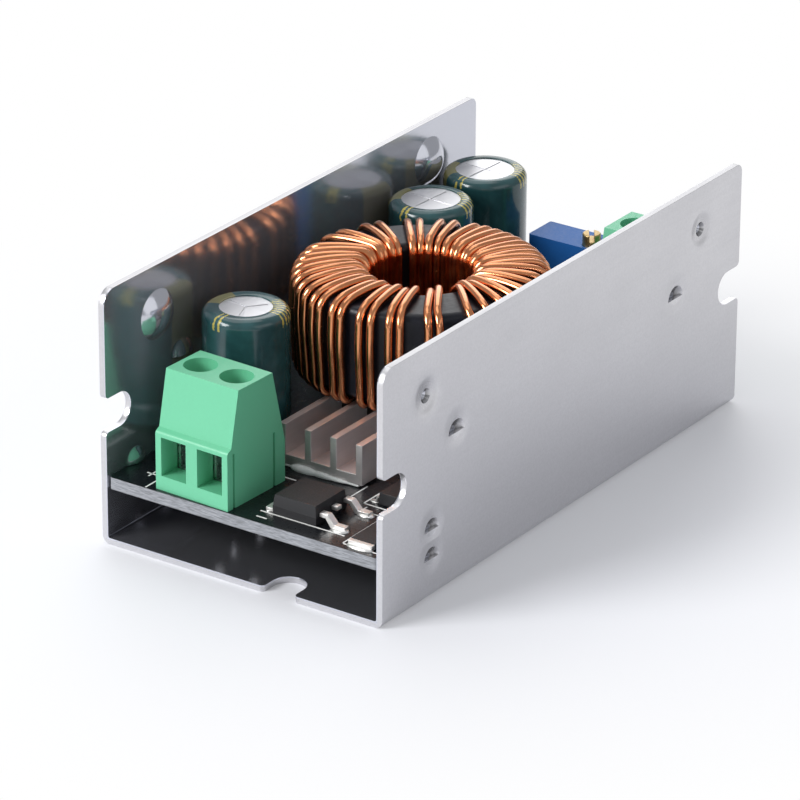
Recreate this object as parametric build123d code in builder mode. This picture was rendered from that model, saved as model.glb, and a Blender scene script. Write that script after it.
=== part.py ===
from build123d import *
import os
from math import asin, cos, hypot, radians, sin

os.makedirs("parts", exist_ok=True)

# Step-down converter module in a bent aluminium channel, in millimetres.
# The origin is the middle of the underside, +Y points to the output end, +Z up.

# Chassis, one strip of aluminium bent into a channel
length = 73.7
width = 38.2
height = 30.7
sheet = 0.8
bend_inner = 0.25
front_wall_corner = 1.9
rear_wall_corner = 1.1
notch_width = 4.1
notch_depth = 4.6
notch_height = 15.7
notch_lip = 0.6
floor_notch_x = 5.2
floor_notch_depth = 4.0

# Round dimples and half moon tabs pressed inwards from both walls
# Each place is the distance from the end of the wall and the height, front then rear
dimple_places = {"left": [(9.7, 24.7), (10.0, 25.6)], "right": [(8.4, 24.8), (8.8, 25.2)]}
dimple_radius = 3.0
dimple_rise = 1.3
dish_radius = 2.5
dish_depth = 0.35
pit_radius = 1.75
pit_point = 0.15
pit_depth = 1.25
tab_flare = 0.5
tab_rise = 0.75
upper_tab_radius = 1.55
upper_tab_inset = 14.2
upper_tab_height = 18.4
board_tab_radius = 1.4
# Distance of each board tab from the end of its wall, front then rear, none at the right rear
board_tab_insets = {"left": [5.2, 9.5], "right": [9.5]}

# Circuit board
board_under = 6.8
board_thickness = 1.5
board_side_gap = 0.05
board_end_gap = 0.25
board_corner = 0.5
seat_gap = 0.05

# Screw terminal blocks
pole_pitch = 5.08
block_depth = 10.3
block_height = 13.95
block_lip_height = 7.0
block_lip_step = 0.7
block_top_front = 2.07
block_top_back = 8.1
block_back_slope_start = 5.0
window_width = 3.5
window_height = 4.7
window_sill = 1.75
screw_line = 5.0
access_radius = 1.95
groove_width = 0.35
groove_cut = 0.5
groove_front = 1.15
groove_back = 8.35
groove_top = 6.6
input_block_x = -6.98
input_block_inset = 0.6
input_block_skew = -2.15
output_block_x = 10.8
output_block_inset = 0.57

# Rising cage clamp inside each pole
cage_width = 3.7
cage_depth = 4.2
cage_floor = 0.7
cage_roof = 1.4
cage_opening_width = 2.6
cage_start = 1.2
wire_space = 3.5
bar_width = 2.4
bar_thickness = 0.8
clamp_gap = 0.1
cage_travel = 2.5
clamp_screw_radius = 1.25
clamp_head_radius = 1.8
clamp_head_height = 1.6
thread_gap = 0.05
slot_width = 0.6
slot_depth = 0.8
contact_pin_width = 1.0
contact_leg_thickness = 0.7

# Electrolytic capacitors
can_radius = 4.875
sleeve_wall = 0.15
capacitor_height = 16.5
can_start = 0.35
can_corner = 0.9
crimp_start = 2.3
crimp_length = 1.1
crimp_depth = 0.35
seal_wall = 0.4
seal_height = 1.35
vent_score_width = 0.25
vent_score_depth = 0.08
vent_share = 0.84
capacitor_pin_spacing = 5.0
capacitor_pin_radius = 0.3
front_capacitor_y = 17.2
# Distances of the other two from the rear end
middle_capacitor_y = 18.0
rear_capacitor_y = 6.5
# Gap to the left wall and radius of the bare top of each capacitor
capacitor_wall_gaps = {"front": 1.775, "middle": 0.675, "rear": 0.675}
bare_disc_radii = {"front": 3.05, "middle": 3.5, "rear": 3.5}
vent_arms = {"front": 3, "middle": 4, "rear": 4}
vent_angles = {"front": 50, "middle": -4, "rear": -4}

# Heatsink glued to the board
glue_thickness = 0.3
heatsink_right = 6.75
heatsink_front = 13.85
heatsink_length = 11.0
heatsink_base = 1.2
heatsink_height = 4.9
fin_thickness = 0.86
fin_pitch = 3.48
fin_count = 4
glue_inset = 0.4
glue_bead_rise = 0.75
glue_bead_reach = 0.5
glue_bead_length = 7.6

# Ring coil, wound with two wires side by side
coil_x = -0.3
coil_y = 35.66
core_outer_radius = 13.85
core_inner_radius = 7.05
core_height = 11.2
core_corner = 0.9
wire_radius = 0.41
wire_lift = 0.05
wire_corner = 0.8
coil_rest_gap = 0.1
# Each group of wires is its first angle, how many there are and their pitch
outer_groups = [
    (-32.3, 8, 8.9),
    (38.2, 10, 6.5),
    (107.5, 2, 7.0),
    (125.2, 2, 6.4),
    (146.0, 2, 7.5),
    (167.0, 2, 9.0),
    (190.0, 8, 7.2),
    (247.5, 2, 5.5),
    (261.0, 2, 5.0),
    (276.0, 2, 5.5),
    (290.0, 2, 5.0),
    (307.5, 2, 5.0),
]
inner_groups = [(-23.5, 18, 7.2), (108.5, 4, 8.2), (147.5, 20, 7.97), (311.5, 2, 7.5)]
end_angles = (316.8, 321.4)

# Surface mount power device
device_x = 5.3
device_y = 5.87
device_length = 5.8
device_width = 5.85
device_height = 2.3
device_draft = 0.05
device_lead_y = 6.25
device_pitch = 4.57
device_lead_width = 0.9
device_lead_run = 1.1
device_lead_thickness = 0.5
device_lead_height = 1.0
device_lead_reach = 2.9
device_foot = 1.4
tab_plate_width = 5.3
tab_plate_reach = 1.1
stub_reach = 0.8

# Controller chip
chip_x = 12.5
chip_y = 15.8
chip_body_width = 3.9
chip_body_length = 8.65
chip_body_height = 1.4
chip_standoff = 0.1
chip_lead_span = 6.0
chip_lead_count = 7
chip_lead_pitch = 1.27
chip_lead_width = 0.42
chip_lead_thickness = 0.22
chip_lead_height = 0.7
chip_foot = 0.6

# Chip resistors and chip capacitors
sense_x = 15.2
sense_y = 4.5
sense_width = 3.2
sense_length = 6.4
sense_height = 0.6
sense_cap = 0.65
small_width = 0.8
small_length = 1.6
small_height = 0.8
small_cap = 0.3
small_places = [(9.4, 21.6), (11.4, 21.6), (13.4, 21.6), (15.4, 21.6), (15.4, 37.0), (16.6, 37.0)]

# Trimmer potentiometer
trimmer_left = -5.45
trimmer_rear_gap = 2.97
trimmer_length = 9.53
trimmer_width = 4.83
trimmer_height = 10.0
trimmer_foot = 0.2
trimmer_foot_width = 0.8
trimmer_edge = 0.25
trimmer_screw_from_right = 1.58
trimmer_screw_from_front = 1.5
trimmer_screw_radius = 1.1
trimmer_screw_rise = 1.5
trimmer_bore_depth = 3.0
trimmer_bore_gap = 0.04
trimmer_slot_angle = -55.0
trimmer_pin_pitch = 2.54
trimmer_pin_radius = 0.25

# Soldered ends below the board
pin_tail = 1.5
hole_gap = 0.1
solder_height = 1.0
solder_spread = 0.3
solder_neck = 0.12
solder_gap = 0.02

front = -length / 2
board_top = board_under + board_thickness
inner_half = width / 2 - sheet
lower_tab_height = board_under - seat_gap - board_tab_radius - tab_flare
tail_end = board_under - pin_tail
block_width = 2 * pole_pitch
standing = (Align.CENTER, Align.CENTER, Align.MIN)
hanging = (Align.CENTER, Align.CENTER, Align.MAX)


def finish(builder, name):
    builder.part.label = name
    export_step(builder.part, f"parts/{name}.step")


def wall_plane(side, y, z):
    """Plane on a wall's inner face: local x runs along Y, local y points inwards."""
    return Plane(origin=(side * inner_half, y, z), x_dir=(0, 1, 0), z_dir=(0, 0, side))


def cap_arc(radius, rise, base):
    """Arc of a shallow dome from its rim to its crown, in the current line."""
    sphere = (radius**2 + rise**2) / (2 * rise)
    half = asin(radius / sphere) / 2
    middle = (sphere * sin(half), base + rise - sphere + sphere * cos(half))
    ThreePointArc((radius, base), middle, (0, base + rise))


def dome(place, radius, rise, base, turn, mode):
    """Solid or hollow dome turned about the wall's normal, from base by rise."""
    floor = base - sheet / 2
    with BuildSketch(place) as profile:
        with BuildLine():
            cap_arc(radius, rise, base)
            Polyline((0, base + rise), (0, floor), (radius, floor), (radius, base))
        make_face()
    revolve(profile.sketch, axis=Axis(place.origin, (1, 0, 0)), revolution_arc=turn, mode=mode)


# Chassis
with BuildPart() as chassis:
    with BuildSketch(Plane.XZ) as channel:
        Rectangle(width, height, align=(Align.CENTER, Align.MIN))
        fillet(channel.vertices().group_by(Axis.Y)[0], radius=bend_inner + sheet)
        with BuildSketch(mode=Mode.SUBTRACT) as hollow:
            with Locations((0, sheet)):
                Rectangle(width - 2 * sheet, height, align=(Align.CENTER, Align.MIN))
            fillet(hollow.vertices().group_by(Axis.Y)[0], radius=bend_inner)
    extrude(amount=length / 2, both=True)
    wall_tops = chassis.edges().filter_by(Axis.X).group_by(Axis.Z)[-1].group_by(Axis.Y)
    fillet(wall_tops[0], radius=front_wall_corner)
    fillet(wall_tops[-1], radius=rear_wall_corner)
    with BuildSketch(Plane.YZ):
        with Locations((-length / 2, notch_height), (length / 2, notch_height)):
            SlotOverall(2 * notch_depth, notch_width)
    extrude(amount=width, both=True, mode=Mode.SUBTRACT)
    side_lips = chassis.edges().filter_by(Axis.X).filter_by_position(
        Axis.Z, notch_height - notch_width / 2 - 0.01, notch_height + notch_width / 2 + 0.01
    )
    fillet(side_lips, radius=notch_lip)
    with BuildSketch(Plane.XY):
        with Locations((floor_notch_x, -length / 2), (floor_notch_x, length / 2)):
            SlotOverall(2 * floor_notch_depth, notch_width, rotation=90)
    extrude(amount=2 * sheet, both=True, mode=Mode.SUBTRACT)
    floor_lips = chassis.edges().filter_by(Axis.Z).filter_by_position(
        Axis.X, floor_notch_x - notch_width / 2 - 0.01, floor_notch_x + notch_width / 2 + 0.01
    )
    fillet(floor_lips, radius=notch_lip)
    for side, wall in ((-1, "left"), (1, "right")):
        for end, (inset, z) in zip((-1, 1), dimple_places[wall]):
            dimple_place = wall_plane(side, end * (length / 2 - inset), z)
            dome(dimple_place, dimple_radius, dimple_rise, 0, 360, Mode.ADD)
            dome(dimple_place, dish_radius, dish_depth, -sheet, 360, Mode.SUBTRACT)
            pit_face = Plane(dimple_place.origin, z_dir=dimple_place.y_dir)
            with Locations(pit_face.offset(-sheet)):
                Cone(pit_radius, pit_point, pit_depth, align=standing, mode=Mode.SUBTRACT)
        tab_places = [(upper_tab_radius, end, upper_tab_inset, upper_tab_height) for end in (-1, 1)]
        for end, inset in zip((-1, 1), board_tab_insets[wall]):
            tab_places.append((board_tab_radius, end, inset, board_top + seat_gap))
            tab_places.append((board_tab_radius, end, inset, lower_tab_height))
        for radius, end, inset, z in tab_places:
            tab_place = wall_plane(side, end * (length / 2 - inset), z)
            dome(tab_place, radius + tab_flare, tab_rise, 0, 180, Mode.ADD)
            dome(tab_place, radius, tab_rise, -sheet, 180, Mode.SUBTRACT)
finish(chassis, "chassis")


# Terminal blocks
bar_low = cage_start + cage_floor + wire_space
bar_high = bar_low + bar_thickness
cage_roof_low = bar_high + clamp_gap
cage_top = cage_roof_low + cage_roof
screw_head_low = cage_top + cage_travel + clamp_gap
pocket_low = cage_start - clamp_gap
pocket_high = screw_head_low - clamp_gap / 2
pocket_width = cage_width + 2 * clamp_gap
pocket_depth = cage_depth + 2 * clamp_gap
leg_front = screw_line + pocket_depth / 2 + 0.6
leg_back = leg_front + contact_leg_thickness
pin_line = (leg_front + leg_back) / 2
bar_front = screw_line - cage_depth / 2 + 0.2


def block_plane(x, inset, end, skew):
    """Plane on the board at the middle of a block's wire face, local y into the block."""
    x_dir = (-end * cos(radians(skew)), -end * sin(radians(skew)), 0)
    return Plane(origin=(x, end * (length / 2 - inset), board_top), x_dir=x_dir, z_dir=(0, 0, 1))


def side_plane(base, shift=0):
    """Plane through a block across its width: local x is depth, local y is height."""
    return Plane(origin=base.origin + base.x_dir * shift, x_dir=base.y_dir, z_dir=base.x_dir)


def front_plane(base):
    return Plane(origin=base.origin, x_dir=base.x_dir, z_dir=-base.y_dir)


def housing(base, name):
    with BuildPart() as block:
        with BuildSketch(side_plane(base)) as outline:
            Polygon(
                (0, 0),
                (0, block_lip_height),
                (block_lip_step, block_lip_height + block_lip_step / 2),
                (block_top_front, block_height),
                (block_top_back, block_height),
                (block_depth, block_back_slope_start),
                (block_depth, 0),
                align=None,
            )
            fillet(outline.vertices().sort_by_distance((0, block_lip_height))[0], radius=0.5)
        extrude(amount=block_width / 2, both=True)
        with BuildSketch(front_plane(base)):
            with Locations((-pole_pitch / 2, window_sill), (pole_pitch / 2, window_sill)):
                Rectangle(window_width, window_height, align=(Align.CENTER, Align.MIN))
        extrude(amount=-screw_line, mode=Mode.SUBTRACT)
        pole_points = [(-pole_pitch / 2, screw_line), (pole_pitch / 2, screw_line)]
        with BuildSketch(base.offset(pocket_low)):
            with Locations(*pole_points):
                Rectangle(pocket_width, pocket_depth)
        extrude(amount=pocket_high - pocket_low, mode=Mode.SUBTRACT)
        with BuildSketch(base.offset(pocket_high)):
            with Locations(*pole_points):
                Circle(access_radius)
        extrude(amount=block_height, mode=Mode.SUBTRACT)
        bar_points = [(-pole_pitch / 2, screw_line), (pole_pitch / 2, screw_line)]
        with BuildSketch(base.offset(bar_low - seat_gap)):
            with Locations(*bar_points):
                Rectangle(
                    bar_width + 2 * seat_gap,
                    leg_back + seat_gap - screw_line,
                    align=(Align.CENTER, Align.MIN),
                )
        extrude(amount=bar_thickness + 2 * seat_gap, mode=Mode.SUBTRACT)
        with BuildSketch(base):
            with Locations((-pole_pitch / 2, pin_line), (pole_pitch / 2, pin_line)):
                Rectangle(bar_width + 2 * seat_gap, contact_leg_thickness + 2 * seat_gap)
        extrude(amount=bar_high + seat_gap, mode=Mode.SUBTRACT)
        for groove in (groove_front, groove_back):
            with BuildSketch(base):
                with Locations((block_width / 2, groove)):
                    Rectangle(2 * groove_cut, groove_width)
            extrude(amount=groove_top, mode=Mode.SUBTRACT)
    finish(block, name)


def clamp_cage(base, shift, name):
    with BuildPart() as cage:
        with BuildSketch(base.offset(cage_start)):
            with Locations((shift, screw_line)):
                RectangleRounded(cage_width, cage_depth, 0.3)
        extrude(amount=cage_top - cage_start)
        with BuildSketch(front_plane(base)):
            with Locations((shift, cage_start + cage_floor)):
                Rectangle(
                    cage_opening_width,
                    cage_roof_low - cage_start - cage_floor,
                    align=(Align.CENTER, Align.MIN),
                )
        extrude(amount=-block_depth, mode=Mode.SUBTRACT)
        with BuildSketch(base.offset(cage_roof_low)):
            with Locations((shift, screw_line)):
                Circle(clamp_screw_radius + thread_gap)
        extrude(amount=cage_roof, mode=Mode.SUBTRACT)
    finish(cage, name)


def clamp_screw(base, shift, turn, name):
    with BuildPart() as screw:
        with BuildSketch(base.offset(bar_high + seat_gap)):
            with Locations((shift, screw_line)):
                Circle(clamp_screw_radius)
        extrude(amount=screw_head_low - bar_high - seat_gap)
        chamfer(screw.edges().group_by(Axis.Z)[0], length=0.3)
        with BuildSketch(base.offset(screw_head_low)):
            with Locations((shift, screw_line)):
                Circle(clamp_head_radius)
        extrude(amount=clamp_head_height)
        chamfer(screw.edges().group_by(Axis.Z)[-1], length=0.2)
        with BuildSketch(base.offset(screw_head_low + clamp_head_height)):
            with Locations((shift, screw_line)):
                Rectangle(2.2 * clamp_head_radius, slot_width, rotation=turn)
        extrude(amount=-slot_depth, mode=Mode.SUBTRACT)
    finish(screw, name)


def contact(base, shift, name):
    with BuildPart() as strip:
        with BuildSketch(side_plane(base, shift)):
            Polygon(
                (bar_front, bar_low),
                (bar_front, bar_high),
                (leg_back, bar_high),
                (leg_back, 0),
                (leg_front, 0),
                (leg_front, bar_low),
                align=None,
            )
        extrude(amount=bar_width / 2, both=True)
        with BuildSketch(base):
            with Locations((shift, pin_line)):
                Rectangle(contact_pin_width, contact_leg_thickness)
        extrude(amount=tail_end - board_top)
    finish(strip, name)


input_base = block_plane(input_block_x, input_block_inset, -1, input_block_skew)
output_base = block_plane(output_block_x, output_block_inset, 1, 0)
housing(input_base, "input_terminal_housing")
housing(output_base, "output_terminal_housing")
poles = {
    "input_plus": (input_base, -pole_pitch / 2, 24),
    "input_minus": (input_base, pole_pitch / 2, 70),
    "output_minus": (output_base, -pole_pitch / 2, 48),
    "output_plus": (output_base, pole_pitch / 2, 5),
}
for pole, (base, shift, turn) in poles.items():
    clamp_cage(base, shift, f"{pole}_cage")
    clamp_screw(base, shift, turn, f"{pole}_screw")
    contact(base, shift, f"{pole}_contact")


# Electrolytic capacitors
def can_outline(grow):
    """Half outline of a can, grown outwards for the sleeve that shrinks over it."""
    outer = can_radius + grow
    top = capacitor_height - sleeve_wall + grow
    corner = can_corner + grow
    bend = corner * (1 - cos(radians(45)))
    crimp_end = crimp_start + crimp_length
    with BuildLine() as half:
        Polyline((0, can_start), (outer, can_start), (outer, crimp_start))
        middle = (outer - crimp_depth, (crimp_start + crimp_end) / 2)
        ThreePointArc((outer, crimp_start), middle, (outer, crimp_end))
        Line((outer, crimp_end), (outer, top - corner))
        ThreePointArc((outer, top - corner), (outer - bend, top - bend), (outer - corner, top))
        Polyline((outer - corner, top), (0, top), (0, can_start))
    make_face(half.edges())


def capacitor(x, y, name):
    place = Plane(origin=(x, y, board_top), x_dir=(1, 0, 0), z_dir=(0, -1, 0))
    axis = Axis((x, y, 0), (0, 0, 1))
    level = Plane(origin=(x, y, board_top))
    with BuildPart() as can:
        with BuildSketch(place):
            can_outline(0)
        revolve(axis=axis)
        with BuildSketch(level.offset(can_start)):
            Circle(can_radius - seal_wall)
        extrude(amount=seal_height, mode=Mode.SUBTRACT)
        with BuildSketch(level.offset(capacitor_height - sleeve_wall)):
            arm = bare_disc_radii[name] * vent_share
            with PolarLocations(arm / 2, vent_arms[name], start_angle=vent_angles[name]):
                Rectangle(arm, vent_score_width)
        extrude(amount=-vent_score_depth, mode=Mode.SUBTRACT)
    finish(can, f"{name}_capacitor_can")
    with BuildPart() as sleeve:
        with BuildSketch(place):
            can_outline(sleeve_wall)
        revolve(axis=axis)
        with BuildSketch(place):
            can_outline(0)
        revolve(axis=axis, mode=Mode.SUBTRACT)
        with BuildSketch(level.offset(capacitor_height)):
            Circle(bare_disc_radii[name])
        extrude(amount=-2 * sleeve_wall, mode=Mode.SUBTRACT)
    finish(sleeve, f"{name}_capacitor_sleeve")
    with BuildPart() as seal:
        with BuildSketch(level.offset(can_start)):
            Circle(can_radius - seal_wall - seat_gap)
        extrude(amount=seal_height)
    finish(seal, f"{name}_capacitor_seal")
    with BuildPart() as leads:
        with BuildSketch(level.offset(can_start)):
            with GridLocations(0, capacitor_pin_spacing, 1, 2):
                Circle(capacitor_pin_radius)
        extrude(amount=tail_end - board_top - can_start)
    finish(leads, f"{name}_capacitor_leads")


capacitor_ys = {
    "front": front + front_capacitor_y,
    "middle": length / 2 - middle_capacitor_y,
    "rear": length / 2 - rear_capacitor_y,
}
capacitor_points = {}
for key, gap in capacitor_wall_gaps.items():
    capacitor_points[key] = (gap + sleeve_wall + can_radius - inner_half, capacitor_ys[key])
    capacitor(*capacitor_points[key], key)


# Heatsink and the glue under it
heatsink_width = (fin_count - 1) * fin_pitch + fin_thickness
heatsink_x = heatsink_right - heatsink_width / 2
heatsink_under = board_top + glue_thickness
with BuildPart() as heatsink:
    heatsink_end = Plane(origin=(heatsink_x, front + heatsink_front, heatsink_under), x_dir=(1, 0, 0), z_dir=(0, -1, 0))
    with BuildSketch(heatsink_end):
        Rectangle(heatsink_width, heatsink_base, align=(Align.CENTER, Align.MIN))
        with Locations((0, heatsink_base)):
            with GridLocations(fin_pitch, 0, fin_count, 1):
                Rectangle(
                    fin_thickness,
                    heatsink_height - heatsink_base,
                    align=(Align.CENTER, Align.MIN),
                )
    extrude(amount=-heatsink_length)
finish(heatsink, "heatsink")

with BuildPart() as thermal_glue:
    with BuildSketch(Plane.XY.offset(board_top)):
        with Locations((heatsink_x, front + heatsink_front + heatsink_length / 2)):
            Rectangle(heatsink_width - 2 * glue_inset, heatsink_length)
    extrude(amount=glue_thickness)
    bead_start = heatsink_right - heatsink_width + glue_inset
    bead_end = Plane(
        origin=(bead_start, front + heatsink_front, board_top), x_dir=(0, -1, 0), z_dir=(-1, 0, 0)
    )
    with BuildSketch(bead_end):
        with BuildLine():
            Polyline((glue_bead_reach, 0), (0, 0), (0, glue_bead_rise))
            TangentArc((0, glue_bead_rise), (glue_bead_reach, 0), tangent=(1, 0.1))
        make_face()
    extrude(amount=-glue_bead_length)
finish(thermal_glue, "thermal_glue")


# Ring coil
wire_bottom = heatsink_under + heatsink_height + coil_rest_gap
core_bottom = wire_bottom + 2 * wire_radius + wire_lift
with BuildPart() as toroid_core:
    core_section = Plane(
        origin=(coil_x, front + coil_y, core_bottom), x_dir=(1, 0, 0), z_dir=(0, -1, 0)
    )
    with BuildSketch(core_section):
        with Locations(((core_outer_radius + core_inner_radius) / 2, core_height / 2)):
            RectangleRounded(core_outer_radius - core_inner_radius, core_height, core_corner)
    revolve(axis=Axis((coil_x, front + coil_y, 0), (0, 0, 1)))
finish(toroid_core, "toroid_core")

inner_line = core_inner_radius - wire_lift - wire_radius
outer_line = core_outer_radius + wire_lift + wire_radius
low_line = core_bottom - wire_lift - wire_radius
high_line = core_bottom + core_height + wire_lift + wire_radius


def wire_angles(groups):
    return [start + step * pitch for start, count, pitch in groups for step in range(round(count))]


outer_angles = wire_angles(outer_groups)
inner_angles = wire_angles(inner_groups)


def coil_point(radius, angle, z):
    turn = radians(angle)
    return (coil_x + radius * cos(turn), front + coil_y + radius * sin(turn), z)


def strand_points(first):
    """Route of one wire: up the outside, over, down the hole and back under, turn by turn."""
    points = [coil_point(outer_line, outer_angles[first], tail_end)]
    for index in range(first, len(inner_angles), 2):
        outer = outer_angles[index]
        inner = inner_angles[index]
        if index > first:
            points.append(coil_point(outer_line, outer, low_line + wire_corner))
        points.append(coil_point(outer_line, outer, high_line - wire_corner))
        points.append(coil_point(outer_line - wire_corner, outer, high_line))
        points.append(coil_point(inner_line + wire_corner, inner, high_line))
        points.append(coil_point(inner_line, inner, high_line - wire_corner))
        points.append(coil_point(inner_line, inner, low_line + wire_corner))
        points.append(coil_point(inner_line + wire_corner, inner, low_line))
        last = index + 2 >= len(inner_angles)
        leave = end_angles[first] if last else outer_angles[index + 2]
        points.append(coil_point(outer_line - wire_corner, leave, low_line))
    points.append(coil_point(outer_line, end_angles[first], low_line - wire_corner))
    points.append(coil_point(outer_line, end_angles[first], tail_end))
    return points


with BuildPart() as coil_winding:
    for first in (0, 1):
        route = strand_points(first)
        with BuildLine() as strand:
            Polyline(*route)
        with BuildSketch(Plane(origin=route[0], z_dir=(0, 0, 1))):
            RegularPolygon(wire_radius, 8)
        sweep(path=strand.wires()[0], transition=Transition.RIGHT)
finish(coil_winding, "coil_winding")


# Surface mount power device: moulded body, then tab and leads in one frame
device_place = Plane(origin=(device_x, front + device_y, board_top + seat_gap))
with BuildPart() as power_body:
    with BuildSketch(device_place):
        Rectangle(device_length, device_width)
    extrude(amount=device_lead_height, taper=-2)
    with BuildSketch(device_place.offset(device_lead_height)):
        Rectangle(device_length, device_width)
    extrude(amount=device_height - device_lead_height, taper=7)
finish(power_body, "power_device_body")

device_side = device_x + device_length / 2 + device_draft
with BuildPart() as power_leads:
    for lead in (-1, 1):
        lead_plane = Plane(
            origin=(device_side, front + device_lead_y + lead * device_pitch / 2, board_top),
            x_dir=(1, 0, 0),
            z_dir=(0, -1, 0),
        )
        with BuildSketch(lead_plane) as bent:
            with BuildLine():
                Polyline(
                    (0, device_lead_height),
                    (0, device_lead_height + device_lead_thickness),
                    (device_lead_run, device_lead_height + device_lead_thickness),
                    (device_lead_reach - device_foot + 0.5, device_lead_thickness),
                    (device_lead_reach + 0.5, device_lead_thickness),
                    (device_lead_reach + 0.5, 0),
                    (device_lead_reach - device_foot, 0),
                    (0.8, device_lead_height),
                    close=True,
                )
            make_face()
        extrude(amount=device_lead_width / 2, both=True)
    stub_plane = Plane(
        origin=(device_side, front + device_lead_y, board_top + device_lead_height)
    )
    with BuildSketch(stub_plane):
        Rectangle(stub_reach, device_lead_width, align=(Align.MIN, Align.CENTER))
    extrude(amount=device_lead_thickness)
    with BuildSketch(Plane.XY.offset(board_top)):
        with Locations((device_x - device_length / 2 - device_draft, front + device_y)):
            Rectangle(tab_plate_reach, tab_plate_width, align=(Align.MAX, Align.CENTER))
    extrude(amount=device_lead_thickness)
finish(power_leads, "power_device_leads")


# Controller chip
with BuildPart() as controller_body:
    chip_level = Plane(origin=(chip_x, front + chip_y, board_top + chip_standoff))
    with BuildSketch(chip_level):
        Rectangle(chip_body_width, chip_body_length)
    extrude(amount=chip_body_height, taper=5)
finish(controller_body, "controller_body")

with BuildPart() as controller_leads:
    for side in (-1, 1):
        edge = chip_body_width / 2
        reach = chip_lead_span / 2
        lead_row = Plane(
            origin=(chip_x, front + chip_y, board_top), x_dir=(side, 0, 0), z_dir=(0, -side, 0)
        )
        for step in range(chip_lead_count):
            shift = (step - (chip_lead_count - 1) / 2) * chip_lead_pitch
            with BuildSketch(lead_row.offset(shift)):
                with BuildLine():
                    Polyline(
                        (edge, chip_lead_height),
                        (edge, chip_lead_height + chip_lead_thickness),
                        (edge + 0.3, chip_lead_height + chip_lead_thickness),
                        (reach - chip_foot + 0.15, chip_lead_thickness),
                        (reach, chip_lead_thickness),
                        (reach, 0),
                        (reach - chip_foot, 0),
                        (edge + 0.2, chip_lead_height),
                        close=True,
                    )
                make_face()
            extrude(amount=chip_lead_width / 2, both=True)
finish(controller_leads, "controller_leads")


# Current sense resistor
sense_level = Plane(origin=(sense_x, front + sense_y, board_top))
with BuildPart() as sense_body:
    with BuildSketch(sense_level.offset(seat_gap)):
        Rectangle(sense_width, sense_length - 2 * sense_cap)
    extrude(amount=sense_height)
finish(sense_body, "sense_resistor_body")

with BuildPart() as sense_ends:
    with BuildSketch(sense_level):
        with GridLocations(0, sense_length - sense_cap, 1, 2):
            Rectangle(sense_width, sense_cap)
    extrude(amount=sense_height)
finish(sense_ends, "sense_resistor_ends")


# Small chip resistors and capacitors
small_points = [(x, front + y) for x, y in small_places]
with BuildPart() as small_bodies:
    with BuildSketch(Plane.XY.offset(board_top + seat_gap)):
        with Locations(*small_points):
            Rectangle(small_width, small_length - 2 * small_cap)
    extrude(amount=small_height)
finish(small_bodies, "chip_component_bodies")

with BuildPart() as small_ends:
    with BuildSketch(Plane.XY.offset(board_top)):
        with Locations(*small_points):
            with GridLocations(0, small_length - small_cap, 1, 2):
                Rectangle(small_width, small_cap)
    extrude(amount=small_height)
finish(small_ends, "chip_component_ends")


# Trimmer potentiometer
trimmer_x = trimmer_left + trimmer_length / 2
trimmer_y = length / 2 - trimmer_rear_gap - trimmer_width / 2
trimmer_top = board_top + trimmer_foot + trimmer_height
adjuster_x = trimmer_left + trimmer_length - trimmer_screw_from_right
adjuster_y = trimmer_y - trimmer_width / 2 + trimmer_screw_from_front
with BuildPart() as trimmer_body:
    with BuildSketch(Plane.XY.offset(board_top + trimmer_foot)):
        with Locations((trimmer_x, trimmer_y)):
            RectangleRounded(trimmer_length, trimmer_width, trimmer_edge)
    extrude(amount=trimmer_height)
    with BuildSketch(Plane.XY.offset(board_top)):
        with Locations((trimmer_x, trimmer_y)):
            foot_offset = trimmer_edge + trimmer_foot_width
            with GridLocations(trimmer_length - foot_offset, trimmer_width - foot_offset, 2, 2):
                Rectangle(trimmer_foot_width, trimmer_foot_width)
    extrude(amount=trimmer_foot)
    with BuildSketch(Plane.XY.offset(trimmer_top)):
        with Locations((adjuster_x, adjuster_y)):
            Circle(trimmer_screw_radius + trimmer_bore_gap)
    extrude(amount=-trimmer_bore_depth, mode=Mode.SUBTRACT)
finish(trimmer_body, "trimmer_body")

with BuildPart() as trimmer_screw:
    screw_foot = trimmer_top - trimmer_bore_depth + seat_gap
    screw_top = trimmer_top + trimmer_screw_rise
    with BuildSketch(Plane.XY.offset(screw_foot)):
        with Locations((adjuster_x, adjuster_y)):
            Circle(trimmer_screw_radius)
    extrude(amount=screw_top - screw_foot)
    chamfer(trimmer_screw.edges().group_by(Axis.Z)[-1], length=0.12)
    with BuildSketch(Plane.XY.offset(screw_top)):
        with Locations((adjuster_x, adjuster_y)):
            Rectangle(3 * trimmer_screw_radius, slot_width, rotation=trimmer_slot_angle)
    extrude(amount=-slot_depth, mode=Mode.SUBTRACT)
finish(trimmer_screw, "trimmer_screw")

with BuildPart() as trimmer_pins:
    with BuildSketch(Plane.XY.offset(board_top + trimmer_foot)):
        with Locations((trimmer_x, trimmer_y)):
            with GridLocations(trimmer_pin_pitch, 0, 3, 1):
                Circle(trimmer_pin_radius)
    extrude(amount=tail_end - board_top - trimmer_foot)
finish(trimmer_pins, "trimmer_pins")


# Where every soldered wire or pin passes the board
coil_ends = [coil_point(outer_line, angle, 0)[:2] for angle in (*outer_angles[:2], *end_angles)]
block_pins = []
for base, shift, turn in poles.values():
    spot = base.origin + base.x_dir * shift + base.y_dir * pin_line
    block_pins.append((spot.X, spot.Y))
capacitor_pins = []
for x, y in capacitor_points.values():
    for side in (-1, 1):
        capacitor_pins.append((x, y + side * capacitor_pin_spacing / 2))
trimmer_pin_points = [(trimmer_x + step * trimmer_pin_pitch, trimmer_y) for step in (-1, 0, 1)]
contact_pin_reach = hypot(contact_pin_width, contact_leg_thickness) / 2
pins = {
    contact_pin_reach: block_pins,
    capacitor_pin_radius: capacitor_pins,
    wire_radius: coil_ends,
    trimmer_pin_radius: trimmer_pin_points,
}

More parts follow.
